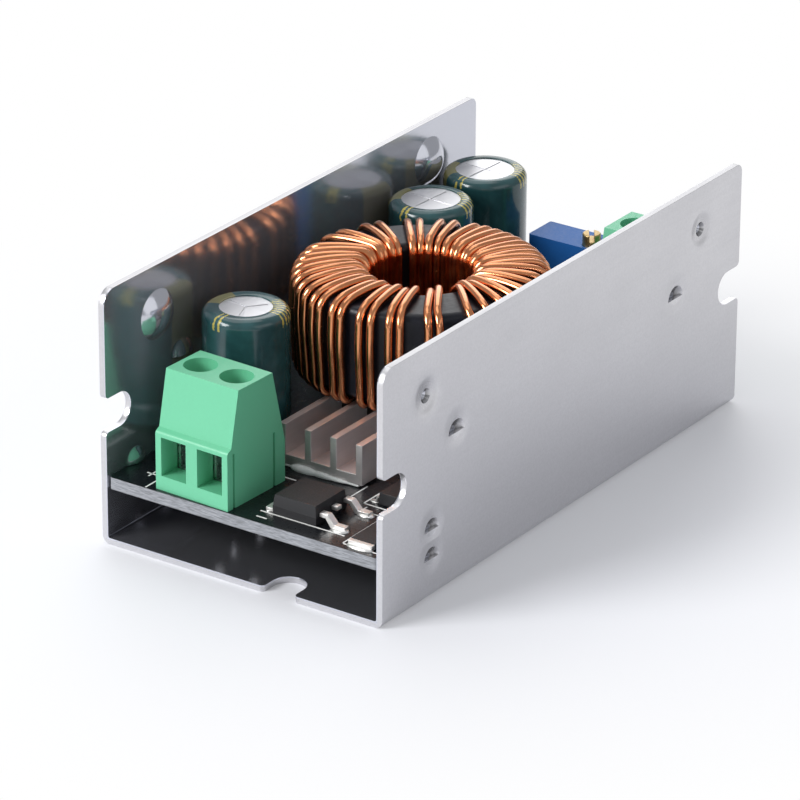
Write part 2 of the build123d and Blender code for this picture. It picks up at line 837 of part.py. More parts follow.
# Circuit board
with BuildPart() as circuit_board:
    with BuildSketch(Plane.XY.offset(board_under)):
        RectangleRounded(
            2 * (inner_half - board_side_gap), length - 2 * board_end_gap, board_corner
        )
    extrude(amount=board_thickness)
    with BuildSketch(Plane.XY.offset(board_top)):
        for radius, points in pins.items():
            with Locations(*points):
                Circle(radius + hole_gap)
    extrude(amount=-board_thickness, mode=Mode.SUBTRACT)
finish(circuit_board, "circuit_board")

# Solder cones under the board, one around each pin
with BuildPart() as solder_joints:
    for radius, points in pins.items():
        with Locations(*[(x, y, board_under) for x, y in points]):
            Cone(radius + solder_neck, radius + solder_spread, solder_height, align=hanging)
    for radius, points in pins.items():
        with Locations(*[(x, y, board_under) for x, y in points]):
            Cylinder(radius + solder_gap, solder_height, align=hanging, mode=Mode.SUBTRACT)
finish(solder_joints, "solder_joints")
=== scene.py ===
import math

import bpy
from bpy.props import FloatProperty, FloatVectorProperty, IntProperty, PointerProperty
from mathutils import Matrix, Vector


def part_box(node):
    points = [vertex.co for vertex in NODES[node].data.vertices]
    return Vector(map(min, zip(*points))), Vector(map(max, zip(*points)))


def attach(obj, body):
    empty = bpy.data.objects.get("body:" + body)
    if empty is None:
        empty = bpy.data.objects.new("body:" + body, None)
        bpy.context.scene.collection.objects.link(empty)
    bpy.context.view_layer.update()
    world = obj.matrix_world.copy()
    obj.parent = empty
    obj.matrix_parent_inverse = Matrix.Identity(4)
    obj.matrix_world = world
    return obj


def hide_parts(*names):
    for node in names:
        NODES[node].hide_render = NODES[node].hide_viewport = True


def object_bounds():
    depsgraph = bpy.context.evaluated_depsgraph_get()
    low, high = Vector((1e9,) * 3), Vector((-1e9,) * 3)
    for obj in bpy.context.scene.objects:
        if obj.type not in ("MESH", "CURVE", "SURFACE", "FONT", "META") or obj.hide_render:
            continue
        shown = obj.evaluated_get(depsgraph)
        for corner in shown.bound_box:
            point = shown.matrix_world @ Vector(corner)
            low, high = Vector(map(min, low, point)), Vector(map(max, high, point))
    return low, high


bl_info = {
    "name": "Step-down converter dressing",
    "version": (1, 0, 0),
    "blender": (4, 5, 0),
    "location": "View3D > Sidebar > Converter",
    "description": "Dresses the packed converter module with its materials and fine detail",
    "category": "Object",
}

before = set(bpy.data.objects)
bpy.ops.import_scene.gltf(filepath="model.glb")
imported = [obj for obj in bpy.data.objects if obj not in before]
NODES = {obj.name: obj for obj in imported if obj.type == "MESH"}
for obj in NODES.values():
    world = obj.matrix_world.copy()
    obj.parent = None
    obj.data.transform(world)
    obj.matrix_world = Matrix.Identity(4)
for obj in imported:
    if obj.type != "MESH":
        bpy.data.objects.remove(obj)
CAD_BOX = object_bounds()
BODY = "module"
MM = 0.001
FRONT = CAD_BOX[0][1] / MM
POLES = ("input_plus", "input_minus", "output_minus", "output_plus")
# Angles in degrees: edges sharper than this are rounded, and those softer are shaded smooth
SHARP_EDGE = 35
SMOOTH_EDGE = 40
SLEEVE_SMOOTH_EDGE = 50

# Colours that are alike in every such module
# The channel's inside: the sheet's own colour, tinted darker and bluish as painted shade
INNER_SHEET_SHADE_TINT = (0.62, 0.63, 0.69)
ZINC = (0.62, 0.62, 0.63)
RUBBER = (0.015, 0.015, 0.015)
# The can tops' darkest and brightest tone, spread by brushed grain and by each sector's painted
# reflection
CAN_TOP_GRAIN_AND_SHEEN = ((0.60, 0.60, 0.62), (0.86, 0.86, 0.88))
DRAWN_ALUMINIUM = (0.74, 0.69, 0.69)
FLOOR_WHITE = (0.84, 0.85, 0.90)
SKY_WHITE = (0.95, 0.97, 1.0)

# The channel, in millimetres: outer face of its walls, and the places within its sheet that part
# the inside from the outside
WALL_X = 19.1
INSIDE_X = 18.45
INSIDE_Z = 0.6
# Dimples and pressed tabs: side, distance from the front, height and reach of the sunken sheet.
# A dimple's pit lies within its radius and is drawn in; a tab's rim keeps a margin from its reach
DIMPLES = ((1, 8.4, 24.8, 3.4), (1, 64.9, 25.2, 3.0), (-1, 9.7, 24.7, 3.4), (-1, 63.7, 25.6, 3.4))
PIT_RADIUS = 1.7
PIT_SCALE = 0.6
TABS = (
    (1, 14.2, 19.0, 2.8), (1, 59.5, 19.0, 2.8), (-1, 14.2, 19.0, 2.8), (-1, 59.5, 19.0, 2.8),
    (1, 9.5, 8.8, 2.6), (1, 9.5, 5.3, 2.6), (-1, 5.2, 8.8, 2.6), (-1, 5.2, 5.3, 2.6),
    (-1, 64.2, 8.8, 2.6), (-1, 64.2, 5.3, 2.6),
)
TAB_RIM_MARGIN = 0.9
DENTS = DIMPLES + TABS

# Each capacitor's bare top's radius, its score's arms, and its stripe's angle from the left
CAPACITORS = {"front": (3.05, 3, -4), "middle": (3.5, 4, 12), "rear": (3.5, 4, 30)}
# Their sleeves: thickness of the film, radius of its top corner, its pinched foot as (inwards, up)
# and its edge round the bare top as (outwards, down)
FILM = 0.14
SLEEVE_CORNER = 1.05
SLEEVE_FOOT = (
    (0.12, 0), (0, 0.12), (0, 1.95), (0.12, 2.15), (0.3, 2.4), (0.3, 2.7), (0.12, 2.95), (0, 3.15),
)
SLEEVE_RIM = ((0.12, 0.005), (0.02, 0.03), (0, 0.1), (0.02, 0.16))

# The ring core, in millimetres
CORE_HOLE = 7.05
CORE_CORNER = 0.9
# The wire's bends under the core, how far its leads reach below the board's underside, and how
# far inwards and upwards the second wire gives way to the first at the hole
LOW_BEND = 1.2
LEAD_DEPTH = 1.5
CROWDING = (0.3, 0.15)
# The coil's passes over the core: first angle, number of passes and pitch, in degrees
OUTER_GROUPS = (
    (-32.3, 8, 8.9), (38.2, 10, 6.5), (107.5, 2, 7.0), (125.2, 2, 6.4), (146.0, 2, 7.5),
    (167.0, 2, 9.0), (190.0, 8, 7.2), (247.5, 2, 5.5), (261.0, 2, 5.0), (276.0, 2, 5.5),
    (290.0, 2, 5.0), (307.5, 2, 5.0),
)
INNER_GROUPS = ((-23.5, 18, 7.2), (108.5, 4, 8.2), (147.5, 20, 7.97), (311.5, 2, 7.5))
END_ANGLES = (316.8, 321.4)
UP, DOWN = Vector((0, 0, 1)), Vector((0, 0, -1))

# Glue under the heatsink, in millimetres: how far it stands out in front, how high its lobes'
# middles are, how finely it is melted together, and the lobes' places and half sizes
GLUE_LEDGE = 0.1
LOBE_RISE = 0.22
GLUE_VOXEL = 0.12
GLUE_LOBES = ((-1.1, 1.9, 0.55, 0.56), (1.3, 1.9, 0.4, 0.4), (3.3, 1.6, 0.3, 0.26))
# Half sizes of the solder on the board, and the distance between the controller's leads
CONTROLLER_SOLDER = (0.62, 0.3, 0.16)
LEAD_SOLDER = (1.15, 0.72, 0.34)
TAB_SOLDER = (0.9, 2.7, 0.3)
RESISTOR_SOLDER = (1.75, 0.62, 0.4)
CONTROLLER_PITCH = 1.27

# Plain outlines printed on the board, from corner to corner, in millimetres from the front
INK_LINES = (
    ((0.9, 2.85), (12.0, 2.85)),
    ((12.95, 1.25), (12.95, 7.9)),
    ((12.95, 1.25), (17.6, 1.25)),
    ((12.95, 7.9), (17.6, 7.9)),
    ((9.05, 10.9), (9.05, 18.4)),
    ((9.05, 10.9), (17.0, 10.9)),
    ((9.05, 18.4), (17.0, 18.4)),
    ((17.0, 10.9), (17.0, 18.4)),
    ((-13.2, 0.45), (-13.2, 11.4)),
    ((-13.2, 11.4), (-0.6, 11.4)),
    ((-15.3, 3.6), (-14.1, 3.6)),
    ((-14.7, 3.0), (-14.7, 4.2)),
    ((1.3, 1.5), (2.5, 1.5)),
    ((-5.9, 65.4), (4.9, 65.4)),
    ((-5.9, 65.4), (-5.9, 71.3)),
    ((4.9, 65.4), (4.9, 71.3)),
    ((5.1, 61.9), (16.5, 61.9)),
    ((5.1, 61.9), (5.1, 72.6)),
    ((16.5, 61.9), (16.5, 72.6)),
    ((9.9, 9.2), (9.9, 10.2)),
    ((9.9, 9.2), (12.3, 9.2)),
    ((12.3, 9.2), (12.3, 10.2)),
    ((6.9, 10.6), (6.9, 14.6)),
)
INK_HEIGHT = 0.02

# The floor glows white away from the part: where that starts and ends in metres, how strong it
# is there, and how much of it metal mirrors
GLOW_REACH = (0.036, 0.086)
GLOW_STRENGTH = (0.14, 1)
MIRRORED_GLOW = 0.72
SKY_STRENGTH = 0.42
# Camera: turn, tilt and roll in degrees, shift right, up and back in millimetres, and focal length
CAMERA_TURN = (34.41, 24.28, 0.31)
CAMERA_PLACE = (17.68, 20.51, 586.12)
CAMERA_LENS = 238.55
# Lamps: name, place in metres, width in metres, watts, and the place that they point at
LAMPS = (
    ("key", (-0.45, -0.75, 0.50), 0.45, 9.0),
    ("top", (-0.25, 0.15, 0.80), 0.6, 1.4),
    ("side", (0.80, -0.10, 0.35), 0.7, 1.0),
    ("rear", (-0.50, 0.75, 0.45), 0.7, 2.4),
)
LAMP_AIM = (0, 0, 0.012)


def node_box(name):
    """Lowest and highest corners of a CAD node, in millimetres."""
    low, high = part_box(name)
    return Vector(low) / MM, Vector(high) / MM


# Sizes and colours a user may change

def colour(name, about, default):
    return FloatVectorProperty(
        name=name, description=about, default=default, subtype="COLOR", size=3, min=0, max=1
    )


def distance(name, about, default):
    return FloatProperty(
        name=name, description=about, default=default * MM, subtype="DISTANCE", unit="LENGTH"
    )


class ConverterSizes(bpy.types.PropertyGroup):
    wire: distance("Wire", "Diameter of the coil's enamelled wire", 0.97)
    outer_bend: distance("Outer bend", "Radius of the wire's bend over the core's outer rim", 2.0)
    inner_bend: distance("Inner bend", "Radius of the wire's bend into the core's hole", 1.55)
    wire_bulge: distance("Wire bulge", "How far the wire stands off the core's side", 0.36)
    sheet_edge: distance("Sheet edge", "Rounding of the channel's cut edges", 0.1)
    dent_edge: distance("Dent edge", "Rounding of the rims of the pressed tabs", 0.18)
    moulded_edge: distance("Moulded edge", "Rounding of moulded plastic edges", 0.2)
    small_edge: distance("Small edge", "Rounding of chips, leads and fins", 0.06)
    ink_width: distance("Ink width", "Width of the printed outlines on the board", 0.2)
    round_steps: IntProperty(
        name="Round steps", description="Facets round a capacitor", default=72, min=16, max=128
    )


class ConverterColours(bpy.types.PropertyGroup):
    sheet: colour("Sheet", "Aluminium of the channel", (0.655, 0.65, 0.67))
    mask: colour("Solder mask", "Black lacquer of the board", (0.004, 0.005, 0.007))
    fibre: colour("Board edge", "Cut glass fibre of the board", (0.27, 0.28, 0.30))
    ink: colour("Ink", "White print on the board", (0.80, 0.80, 0.78))
    terminal: colour("Terminal", "Green plastic of the terminals", (0.13, 0.50, 0.29))
    sleeve: colour("Sleeve", "Dark green film of the capacitors", (0.019, 0.070, 0.076))
    band: colour("Band", "Olive stripe of the capacitors", (0.20, 0.19, 0.07))
    gilt: colour("Print", "Gold marks on the capacitors", (0.50, 0.42, 0.09))
    copper: colour("Copper", "Enamelled copper wire", (0.74, 0.29, 0.125))
    core: colour("Core", "Black coating of the ring core", (0.008, 0.009, 0.014))
    resin: colour("Resin", "Moulded body of the chips", (0.013, 0.013, 0.015))
    tin: colour("Tin", "Tinned leads and solder", (0.78, 0.77, 0.75))
    glue: colour("Glue", "White heat-conducting glue", (0.80, 0.81, 0.80))
    blue: colour("Trimmer", "Blue plastic of the trimmer", (0.014, 0.11, 0.37))
    brass: colour("Brass", "Brass of the adjusting screw", (0.50, 0.36, 0.17))
    tan: colour("Ceramic", "Fired ceramic of the chip capacitors", (0.34, 0.20, 0.10))


# Material helpers

def start_material(name, base, metallic, roughness):
    """A material with one principled shader and the object's own coordinates."""
    material = bpy.data.materials.new(name)
    material.use_nodes = True
    tree = material.node_tree
    shader = tree.nodes["Principled BSDF"]
    shader.inputs["Base Color"].default_value = (*base, 1)
    shader.inputs["Metallic"].default_value = metallic
    shader.inputs["Roughness"].default_value = roughness
    place = tree.nodes.new("ShaderNodeTexCoord")
    return material, tree, shader, place.outputs["Object"]


def noise(tree, place, size, stretch=(1, 1, 1), detail=4.0):
    """Cloudy pattern whose features are about size millimetres across."""
    mapping = tree.nodes.new("ShaderNodeMapping")
    mapping.inputs["Scale"].default_value = stretch
    tree.links.new(place, mapping.inputs["Vector"])
    cloud = tree.nodes.new("ShaderNodeTexNoise")
    cloud.inputs["Scale"].default_value = 1 / (size * MM)
    cloud.inputs["Detail"].default_value = detail
    tree.links.new(mapping.outputs["Vector"], cloud.inputs["Vector"])
    return cloud.outputs["Fac"]


def spread(tree, source, low, high, start=0.3, end=0.7):
    """Stretches a pattern to run from low to high."""
    ranged = tree.nodes.new("ShaderNodeMapRange")
    ranged.inputs["From Min"].default_value = start
    ranged.inputs["From Max"].default_value = end
    ranged.inputs["To Min"].default_value = low
    ranged.inputs["To Max"].default_value = high
    tree.links.new(source, ranged.inputs["Value"])
    return ranged.outputs["Result"]


def blend_colours(tree, amount, first, second):
    """Mixes two colours, each a triple or another node's output."""
    mix = tree.nodes.new("ShaderNodeMix")
    mix.data_type = "RGBA"
    tree.links.new(amount, mix.inputs["Factor"])
    for socket, value in ((mix.inputs["A"], first), (mix.inputs["B"], second)):
        if isinstance(value, bpy.types.NodeSocket):
            tree.links.new(value, socket)
        else:
            socket.default_value = (*value, 1)
    return mix.outputs["Result"]


def calculate(tree, operation, first, second=None):
    """One step of arithmetic on numbers or other nodes' outputs."""
    node = tree.nodes.new("ShaderNodeMath")
    node.operation = operation
    for socket, value in zip(node.inputs, (first, second)):
        if value is None:
            continue
        if isinstance(value, bpy.types.NodeSocket):
            tree.links.new(value, socket)
        else:
            socket.default_value = value
    return node.outputs["Value"]


def roughen(tree, shader, source, depth):
    """Raises the surface by a pattern, depth in millimetres."""
    bump = tree.nodes.new("ShaderNodeBump")
    bump.inputs["Distance"].default_value = depth * MM
    bump.inputs["Strength"].default_value = 0.6
    tree.links.new(source, bump.inputs["Height"])
    tree.links.new(bump.outputs["Normal"], shader.inputs["Normal"])


def set_shine(material, level):
    """How strongly a plastic mirrors what is round it."""
    shader = material.node_tree.nodes["Principled BSDF"]
    shader.inputs["Specular IOR Level"].default_value = level


def shade(colour_value, factor):
    """A colour made darker or brighter."""
    return tuple(min(1.0, part * factor) for part in colour_value)


def grained(
    name, base, metallic, roughness, size, change=0.15, depth=0.01, stretch=(1, 1, 1), coat=0.0
):
    """Surface whose colour, gloss and height vary a little in one grain."""
    material, tree, shader, place = start_material(name, base, metallic, roughness)
    shader.inputs["Coat Weight"].default_value = coat
    shader.inputs["Coat Roughness"].default_value = 0.12
    grain = noise(tree, place, size, stretch)
    patches = noise(tree, place, size * 14, detail=2.0)
    tone = blend_colours(tree, grain, shade(base, 1 - change), shade(base, 1 + change))
    tone = blend_colours(tree, spread(tree, patches, 0, 0.35), tone, shade(base, 1 + 1.5 * change))
    tree.links.new(tone, shader.inputs["Base Color"])
    gloss = spread(tree, grain, max(0.03, roughness - 0.06), min(1, roughness + 0.08))
    tree.links.new(gloss, shader.inputs["Roughness"])
    roughen(tree, shader, grain, depth)
    return material


# Modelling helpers

def clear_selection():
    if bpy.context.object and bpy.context.object.mode != "OBJECT":
        bpy.ops.object.mode_set(mode="OBJECT")
    bpy.ops.object.select_all(action="DESELECT")


def select_only(obj):
    clear_selection()
    obj.select_set(True)
    bpy.context.view_layer.objects.active = obj


def settle(obj):
    """Puts a piece's place into its mesh, so that its object sits at the origin."""
    select_only(obj)
    bpy.ops.object.transform_apply(location=True, rotation=True, scale=True)


def join(pieces):
    """One piece made of several."""
    clear_selection()
    for piece in pieces:
        piece.select_set(True)
    bpy.context.view_layer.objects.active = pieces[0]
    if len(pieces) > 1:
        bpy.ops.object.join()
    return bpy.context.object


def box(low, high):
    """Plain block between two corners in millimetres."""
    clear_selection()
    low, high = Vector(low) * MM, Vector(high) * MM
    bpy.ops.mesh.primitive_cube_add(size=1, location=(low + high) / 2, scale=high - low)
    block = bpy.context.object
    settle(block)
    return block


def lathe(x, y, section, steps):
    """Closed ring about a vertical line, its section as (radius, height) in millimetres."""
    clear_selection()
    radius, height = section[0]
    bpy.ops.mesh.primitive_circle_add(
        vertices=steps,
        radius=radius * MM,
        fill_type="NOTHING",
        location=(x * MM, y * MM, height * MM),
    )
    turned = bpy.context.object
    settle(turned)
    bpy.ops.object.mode_set(mode="EDIT")
    bpy.ops.mesh.select_mode(type="EDGE")
    bpy.ops.mesh.select_all(action="SELECT")
    for next_radius, next_height in section[1:] + section[:1]:
        bpy.ops.mesh.extrude_edges_move(
            TRANSFORM_OT_translate={"value": (0, 0, (next_height - height) * MM)}
        )
        ratio = next_radius / radius
        bpy.ops.transform.resize(
            value=(ratio, ratio, 1), center_override=(x * MM, y * MM, next_height * MM)
        )
        radius, height = next_radius, next_height
    bpy.ops.mesh.select_all(action="SELECT")
    bpy.ops.mesh.remove_doubles(threshold=1e-7)
    bpy.ops.mesh.normals_make_consistent(inside=False)
    bpy.ops.object.mode_set(mode="OBJECT")
    return turned


def bevel(obj, width):
    """Rounds a piece's sharp edges."""
    select_only(obj)
    modifier = obj.modifiers.new("Edges", "BEVEL")
    modifier.width = width
    modifier.segments = 2
    modifier.limit_method = "ANGLE"
    modifier.angle_limit = math.radians(SHARP_EDGE)
    modifier.use_clamp_overlap = True
    bpy.ops.object.modifier_apply(modifier=modifier.name)


def smooth(obj, angle=SMOOTH_EDGE):
    """Smooth shading that keeps large faces flat."""
    select_only(obj)
    bpy.ops.object.shade_smooth_by_angle(angle=math.radians(angle))
    modifier = obj.modifiers.new("Flat faces", "WEIGHTED_NORMAL")
    modifier.keep_sharp = True
    modifier.weight = 90
    bpy.ops.object.modifier_apply(modifier=modifier.name)


def copy_of(node):
    """Copy of a CAD node's mesh without doubles and with flat faces whole, to be reworked."""
    source = NODES[node]
    copied = bpy.data.objects.new(f"{node}_copy", source.data.copy())
    bpy.context.scene.collection.objects.link(copied)
    copied.data.materials.clear()
    select_only(copied)
    bpy.ops.object.mode_set(mode="EDIT")
    bpy.ops.mesh.select_all(action="SELECT")
    bpy.ops.mesh.remove_doubles(threshold=2e-6)
    bpy.ops.mesh.dissolve_limited(angle_limit=math.radians(0.5))
    bpy.ops.mesh.select_all(action="SELECT")
    bpy.ops.mesh.customdata_custom_splitnormals_clear()
    bpy.ops.object.mode_set(mode="OBJECT")
    return copied


def pick_vertices(obj, wanted):
    """Opens a mesh with only those vertices picked whose place, in millimetres, is wanted."""
    select_only(obj)
    bpy.ops.object.mode_set(mode="EDIT")
    bpy.ops.mesh.select_mode(type="VERT")
    bpy.ops.mesh.select_all(action="DESELECT")
    bpy.ops.object.mode_set(mode="OBJECT")
    for vertex in obj.data.vertices:
        vertex.select = wanted(vertex.co / MM)
    bpy.ops.object.mode_set(mode="EDIT")


def register_piece(obj, name, material, nodes=(), body=BODY):
    """Names a piece, gives it its material and says what it rides on and stands for."""
    obj.name = name
    obj.data.name = name
    obj.data.materials.clear()
    obj.data.materials.append(material)
    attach(obj, body)
    if nodes:
        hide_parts(*nodes)
    return obj


def rounded_node(node, name, width, material, body=BODY):
    """Copy of a CAD node with its edges rounded, standing for that node."""
    piece = copy_of(node)
    bevel(piece, width)
    smooth(piece)
    return register_piece(piece, name, material, [node], body)


def dress(node, material):
    """Gives a CAD node that keeps its shape a better material."""
    slots = NODES[node].data.materials
    slots.clear()
    slots.append(material)


class Step:
    """What every operator of this file shares."""
    bl_options = {"REGISTER", "UNDO"}

    @property
    def sizes(self):
        return bpy.context.scene.converter_sizes

    @property
    def colours(self):
        return bpy.context.scene.converter_colours


# Operators, one for each piece or group of pieces, each after the materials of its own

def dent_pattern(tree, place):
    """One in the middle of each dimple and tab, nought out of their reach."""
    pattern = None
    for side, y, z, reach in DENTS:
        away = tree.nodes.new("ShaderNodeVectorMath")
        away.operation = "DISTANCE"
        tree.links.new(place, away.inputs[0])
        away.inputs[1].default_value = (side * WALL_X * MM, (FRONT + y) * MM, z * MM)
        fade = tree.nodes.new("ShaderNodeMapRange")
        fade.interpolation_type = "SMOOTHSTEP"
        fade.inputs["From Max"].default_value = reach * MM
        fade.inputs["To Min"].default_value = 1
        fade.inputs["To Max"].default_value = 0
        tree.links.new(away.outputs["Value"], fade.inputs["Value"])
        dent = fade.outputs["Result"]
        pattern = dent if pattern is None else calculate(tree, "MAXIMUM", pattern, dent)
    return pattern


def sheet_material(base):
    """Rolled sheet: satin outside, almost a mirror inside, rubbed bright in its dents, with painted
    shade: a darker bluish tint inside, darkened hollows in the outer dents and a dark line along
    the top edge.
    """
    material, tree, shader, place = start_material("Rolled_aluminium", base, 1.0, 0.4)
    parts = tree.nodes.new("ShaderNodeSeparateXYZ")
    tree.links.new(place, parts.inputs[0])
    height = parts.outputs["Z"]
    across = calculate(tree, "ABSOLUTE", parts.outputs["X"])
    inside_walls = calculate(tree, "LESS_THAN", across, INSIDE_X * MM)
    above_skin = calculate(tree, "GREATER_THAN", height, INSIDE_Z * MM)
    inside = calculate(tree, "MULTIPLY", inside_walls, above_skin)
    dents = dent_pattern(tree, place)

    rolled = noise(tree, place, 0.5, (1, 0.02, 1), 6.0)
    speckle = noise(tree, place, 0.25, detail=3.0)
    smudges = noise(tree, place, 9, detail=3.0)
    smear = spread(tree, smudges, -0.03, 0.03)
    satin = calculate(tree, "ADD", spread(tree, rolled, 0.33, 0.41), smear)
    haze = spread(tree, smudges, 0, 0.04)
    mirror = calculate(tree, "ADD", spread(tree, rolled, 0.10, 0.15), haze)
    rubbed = spread(tree, dents, 0, 0.2, 0.45, 0.75)
    gloss = tree.nodes.new("ShaderNodeMix")
    tree.links.new(inside, gloss.inputs["Factor"])
    tree.links.new(calculate(tree, "SUBTRACT", satin, rubbed), gloss.inputs["A"])
    tree.links.new(mirror, gloss.inputs["B"])
    tree.links.new(gloss.outputs["Result"], shader.inputs["Roughness"])

    tone = blend_colours(tree, spread(tree, speckle, 0, 1), shade(base, 0.95), shade(base, 1.03))
    tone = blend_colours(tree, spread(tree, smudges, 0, 0.3), tone, shade(base, 0.94))
    # Painted shade: the sunken sheet in the outer dents is darkened
    under_skin = spread(tree, across, 1, 0, 18.5 * MM, 19 * MM)
    dented = calculate(tree, "GREATER_THAN", dents, 0.02)
    dent_shade = calculate(tree, "MULTIPLY", under_skin, dented)
    tone = blend_colours(tree, dent_shade, tone, shade(base, 0.4))
    # Painted shade: the inside of the channel gets a darker, bluish tint
    tone = blend_colours(tree, inside, tone, INNER_SHEET_SHADE_TINT)
    # Painted shade: a thin dark line along the walls' top edge
    top_edge_shade = calculate(tree, "GREATER_THAN", height, CAD_BOX[1][2] - 0.05 * MM)
    tone = blend_colours(tree, top_edge_shade, tone, shade(base, 0.72))
    tree.links.new(tone, shader.inputs["Base Color"])
    dulling = spread(tree, height, 0.08, 0.15, 2 * MM, 12 * MM)
    matte = calculate(tree, "MULTIPLY", inside, dulling)
    tree.links.new(calculate(tree, "SUBTRACT", 1, matte), shader.inputs["Metallic"])

    roughen(tree, shader, calculate(tree, "ADD", rolled, speckle), 0.003)
    fine = shader.inputs["Normal"].links[0].from_node
    sinking = tree.nodes.new("ShaderNodeBump")
    sinking.invert = True
    sinking.inputs["Distance"].default_value = 0.25 * MM
    outside = calculate(tree, "SUBTRACT", 1, inside)
    tree.links.new(calculate(tree, "MULTIPLY", dents, outside), sinking.inputs["Height"])
    tree.links.new(fine.outputs["Normal"], sinking.inputs["Normal"])
    tree.links.new(sinking.outputs["Normal"], shader.inputs["Normal"])
    return material


def near_dent(place, dents, margin):
    """Whether a place in millimetres is nearer to one of some dents than its reach less margin."""
    return any(
        place.x * side > 0 and math.hypot(place.y - FRONT - y, place.z - z) < reach - margin
        for side, y, z, reach in dents
    )


class CONVERTER_OT_channel(Step, bpy.types.Operator):
    """Draw in the dimples' pits, round the channel's cut edges and give it rolled aluminium"""
    bl_idname = "converter.channel"
    bl_label = "Channel"

    def execute(self, context):
        piece = copy_of("chassis")
        for dimple in DIMPLES:
            side, y, z, reach = dimple

            def in_pit(place):
                sunken = 18 < side * place.x < 18.9
                return sunken and near_dent(place, [dimple], reach - PIT_RADIUS)

            pick_vertices(piece, in_pit)
            centre = Vector((side * WALL_X, FRONT + y, z)) * MM
            bpy.ops.transform.resize(value=(1, PIT_SCALE, PIT_SCALE), center_override=centre)
            bpy.ops.object.mode_set(mode="OBJECT")

        def on_tab_rim(place):
            return abs(abs(place.x) - WALL_X) < 0.02 and near_dent(place, TABS, TAB_RIM_MARGIN)

        pick_vertices(piece, on_tab_rim)
        bpy.ops.mesh.select_mode(type="EDGE")
        bpy.ops.mesh.bevel(offset=self.sizes.dent_edge, segments=3, clamp_overlap=True)
        bpy.ops.mesh.select_all(action="DESELECT")
        bpy.ops.mesh.edges_select_sharp(sharpness=math.radians(SHARP_EDGE))
        bpy.ops.object.mode_set(mode="OBJECT")
        for edge in piece.data.edges:
            place = piece.data.vertices[edge.vertices[0]].co / MM
            edge.select = edge.select and not near_dent(place, DENTS, 0)
        bpy.ops.object.mode_set(mode="EDIT")
        bpy.ops.mesh.bevel(offset=self.sizes.sheet_edge, segments=2, clamp_overlap=True)
        bpy.ops.object.mode_set(mode="OBJECT")
        smooth(piece)
        material = sheet_material(self.colours.sheet)
        register_piece(piece, "channel", material, ["chassis"])
        return {"FINISHED"}


def board_material(mask, fibre):
    """Black lacquer on top and below, cut glass fibre on the edge, faint tracks."""
    material, tree, shader, place = start_material("Board", mask, 0.0, 0.3)
    shader.inputs["Specular IOR Level"].default_value = 0.4
    low, high = node_box("circuit_board")
    parts = tree.nodes.new("ShaderNodeSeparateXYZ")
    tree.links.new(place, parts.inputs[0])
    rise = calculate(tree, "SUBTRACT", parts.outputs["Z"], (low.z + high.z) / 2 * MM)
    lacquer_depth = 0.04
    half_core = ((high.z - low.z) / 2 - lacquer_depth) * MM
    edge = calculate(tree, "LESS_THAN", calculate(tree, "ABSOLUTE", rise), half_core)
    strands = noise(tree, place, 0.3, (0.3, 0.3, 3), 5.0)
    fibres = blend_colours(tree, spread(tree, strands, 0, 1), shade(fibre, 0.6), shade(fibre, 1.35))
    tracks = tree.nodes.new("ShaderNodeTexBrick")
    tracks.inputs["Scale"].default_value = 220
    tracks.inputs["Mortar Size"].default_value = 0.03
    tree.links.new(place, tracks.inputs["Vector"])
    weave = noise(tree, place, 0.4)
    lacquer = blend_colours(tree, spread(tree, weave, 0, 1), shade(mask, 0.8), shade(mask, 1.4))
    tree.links.new(blend_colours(tree, edge, lacquer, fibres), shader.inputs["Base Color"])
    dull_edge = calculate(tree, "MULTIPLY", edge, 0.4)
    gloss = calculate(tree, "ADD", spread(tree, weave, 0.26, 0.36), dull_edge)
    tree.links.new(gloss, shader.inputs["Roughness"])
    roughen(tree, shader, calculate(tree, "ADD", tracks.outputs["Fac"], weave), 0.02)
    return material


class CONVERTER_OT_board(Step, bpy.types.Operator):
    """Dress the board and print its plain outlines"""
    bl_idname = "converter.board"
    bl_label = "Circuit board"

    def execute(self, context):
        dress("circuit_board", board_material(self.colours.mask, self.colours.fibre))
        dress("solder_joints", grained("Solder", self.colours.tin, 1.0, 0.25, 0.6, 0.08, 0.03))
        top = node_box("circuit_board")[1].z
        half = self.sizes.ink_width / MM / 2
        ink = []
        for (x0, y0), (x1, y1) in INK_LINES:
            low = (min(x0, x1) - half, FRONT + min(y0, y1) - half, top)
            high = (max(x0, x1) + half, FRONT + max(y0, y1) + half, top + INK_HEIGHT)
            ink.append(box(low, high))
        printed = join(ink)
        material = grained("Ink", self.colours.ink, 0.0, 0.6, 0.15, 0.1, 0.004)
        register_piece(printed, "board_print", material)
        return {"FINISHED"}


class CONVERTER_OT_terminals(Step, bpy.types.Operator):
    """Round the terminal housings and dress cages, screws and contacts"""
    bl_idname = "converter.terminals"
    bl_label = "Terminals"

    def execute(self, context):
        moulded, small = self.sizes.moulded_edge, self.sizes.small_edge
        plastic = self.colours.terminal
        green = grained("Terminal_plastic", plastic, 0.0, 0.42, 0.35, 0.05, 0.006, coat=0.08)
        for end in ("input", "output"):
            housing = f"{end}_terminal_housing"
            rounded_node(housing, f"{end}_housing", moulded, green)
        plated = grained("Zinc_plate", ZINC, 1.0, 0.3, 0.5, 0.1, 0.01)
        tinned = grained("Tinned_strip", self.colours.tin, 1.0, 0.3, 0.5, 0.1, 0.01)
        for pole in POLES:
            cage, screw = f"{pole}_cage", f"{pole}_screw"
            rounded_node(cage, f"{pole}_clamp", small, plated, cage)
            rounded_node(screw, f"{pole}_terminal_screw", small, plated, screw)
            dress(f"{pole}_contact", tinned)
        return {"FINISHED"}


